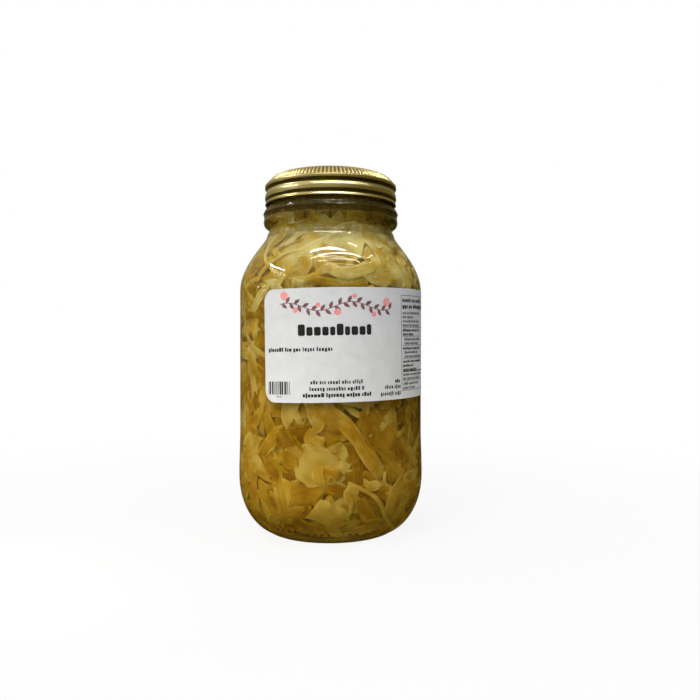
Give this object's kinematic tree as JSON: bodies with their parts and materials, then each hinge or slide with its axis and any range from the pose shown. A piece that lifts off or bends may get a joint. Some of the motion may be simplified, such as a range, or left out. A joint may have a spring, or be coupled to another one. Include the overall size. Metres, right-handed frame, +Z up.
{
  "type": "sauerkraut jar",
  "caption": "Closed wide-mouth glass jar packed with golden shredded sauerkraut in brine, with a fluted gold screw lid and a plain printed paper label.",
  "frame": {"origin": "centre of the base on the plane it stands on, which is also the bottom centre of the bounding box", "axes": "+Z up along the jar's axis, -Y towards the viewer, where the label's front is, +X to the viewer's right"},
  "size_m": [0.0998, 0.0998, 0.1926],
  "materials": {
    "clear_glass": "clear, glossy, very slightly green",
    "gold_lacquer": "satin gold lacquer on tinplate",
    "cabbage": "wet, slightly translucent pickled cabbage",
    "label_paper": "matt white coated paper with printed blocks"
  },
  "bodies": {
    "root": {"glass_jar": "clear_glass", "lid": "gold_lacquer", "paper_label": "label_paper", "sauerkraut": "cabbage"}
  },
  "joints": []
}
